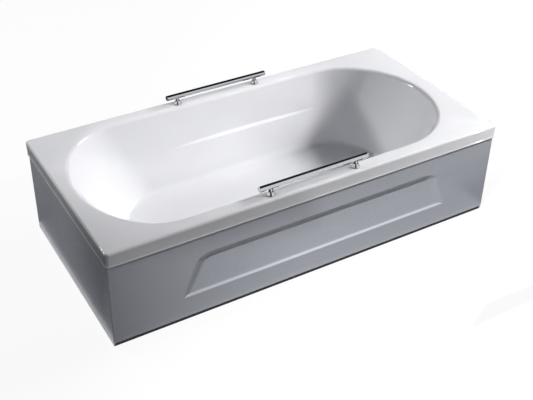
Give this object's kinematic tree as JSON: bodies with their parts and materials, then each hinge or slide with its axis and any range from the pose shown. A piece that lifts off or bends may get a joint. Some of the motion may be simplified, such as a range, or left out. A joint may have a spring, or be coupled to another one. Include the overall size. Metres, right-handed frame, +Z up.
{
  "type": "bathtub",
  "caption": "Rectangular fitted bathtub with an oval basin, panelled front with a pressed recess, chrome grab bars on the rim and a pop-up waste.",
  "frame": {"origin": "on the floor under the centre of the rim's rectangle", "axes": "+X along the tub towards the foot end with the waste, -Y towards the front panel, +Y towards the wall, +Z up"},
  "size_m": [1.7, 0.82, 0.469],
  "materials": {
    "acrylic_shell": "white cast acrylic, high gloss",
    "acrylic_panel": "white formed acrylic, satin gloss",
    "board": "resin-coated particle board",
    "timber": "planed softwood",
    "galvanised_steel": "galvanised square tube",
    "foot_plastic": "black moulded polypropylene",
    "zinc_steel": "bright zinc plate",
    "plinth": "black extruded plastic",
    "chrome_plate": "polished chrome plate",
    "black_rubber": "moulded rubber",
    "waste_plastic": "white moulded polypropylene",
    "cable_jacket": "plastic-jacketed cable"
  },
  "bodies": {
    "tub": {"bar_end_caps": "chrome_plate", "bar_gaskets": "black_rubber", "bar_nuts": "zinc_steel", "bar_studs": "zinc_steel", "bar_washers": "zinc_steel", "base_board": "board", "control_cable": "cable_jacket", "foot_bearer": "galvanised_steel", "foot_end_panel": "acrylic_panel", "foot_nuts": "zinc_steel", "foot_rim_rail": "timber", "front_apron": "acrylic_panel", "front_bar": "chrome_plate", "front_base_rail": "galvanised_steel", "front_foot_upright": "galvanised_steel", "front_head_upright": "galvanised_steel", "front_left_post": "chrome_plate", "front_left_rosette": "chrome_plate", "front_plinth": "plinth", "front_right_post": "chrome_plate", "front_right_rosette": "chrome_plate", "front_rim_rail": "timber", "head_bearer": "galvanised_steel", "head_end_panel": "acrylic_panel", "head_rim_rail": "timber", "middle_bearer": "galvanised_steel", "overflow_elbow": "waste_plastic", "overflow_flange": "chrome_plate", "overflow_pipe": "waste_plastic", "panel_clips": "zinc_steel", "panel_screws": "zinc_steel", "rear_bar": "chrome_plate", "rear_base_rail": "galvanised_steel", "rear_foot_upright": "galvanised_steel", "rear_head_upright": "galvanised_steel", "rear_left_post": "chrome_plate", "rear_left_rosette": "chrome_plate", "rear_right_post": "chrome_plate", "rear_right_rosette": "chrome_plate", "rear_rim_rail": "timber", "slip_nuts": "waste_plastic", "tub_shell": "acrylic_shell", "waste_body": "waste_plastic", "waste_flange": "chrome_plate", "waste_gaskets": "black_rubber"},
    "foot_1": {"foot_pad_1": "foot_plastic", "foot_stud_1": "zinc_steel"},
    "foot_2": {"foot_pad_2": "foot_plastic", "foot_stud_2": "zinc_steel"},
    "foot_3": {"foot_pad_3": "foot_plastic", "foot_stud_3": "zinc_steel"},
    "foot_4": {"foot_pad_4": "foot_plastic", "foot_stud_4": "zinc_steel"},
    "foot_5": {"foot_pad_5": "foot_plastic", "foot_stud_5": "zinc_steel"},
    "foot_6": {"foot_pad_6": "foot_plastic", "foot_stud_6": "zinc_steel"},
    "knob": {"overflow_knob": "chrome_plate"},
    "plug": {"waste_plug": "chrome_plate", "plug_seal": "black_rubber"}
  },
  "joints": [
    {"name": "foot_1_height", "type": "slide", "parent": "tub", "child": "foot_1", "axis": [0, 0, 1], "range_m": [-0.02, 0.006]},
    {"name": "foot_2_height", "type": "slide", "parent": "tub", "child": "foot_2", "axis": [0, 0, 1], "range_m": [-0.02, 0.006]},
    {"name": "foot_3_height", "type": "slide", "parent": "tub", "child": "foot_3", "axis": [0, 0, 1], "range_m": [-0.02, 0.006]},
    {"name": "foot_4_height", "type": "slide", "parent": "tub", "child": "foot_4", "axis": [0, 0, 1], "range_m": [-0.02, 0.006]},
    {"name": "foot_5_height", "type": "slide", "parent": "tub", "child": "foot_5", "axis": [0, 0, 1], "range_m": [-0.02, 0.006]},
    {"name": "foot_6_height", "type": "slide", "parent": "tub", "child": "foot_6", "axis": [0, 0, 1], "range_m": [-0.02, 0.006]},
    {"name": "knob_turn", "type": "hinge", "parent": "tub", "child": "knob", "pos_m": [0.4, -0.33391, 0.352], "axis": [0, 0.982, 0.1891], "range_deg": [0, 90]},
    {"name": "plug_lift", "type": "slide", "parent": "tub", "child": "plug", "axis": [0, 0, 1], "range_m": [0, 0.01]}
  ],
  "couplings": [
    {"joint": "plug_lift", "follows": "knob_turn", "m_per_rad": 0.0063662}
  ]
}
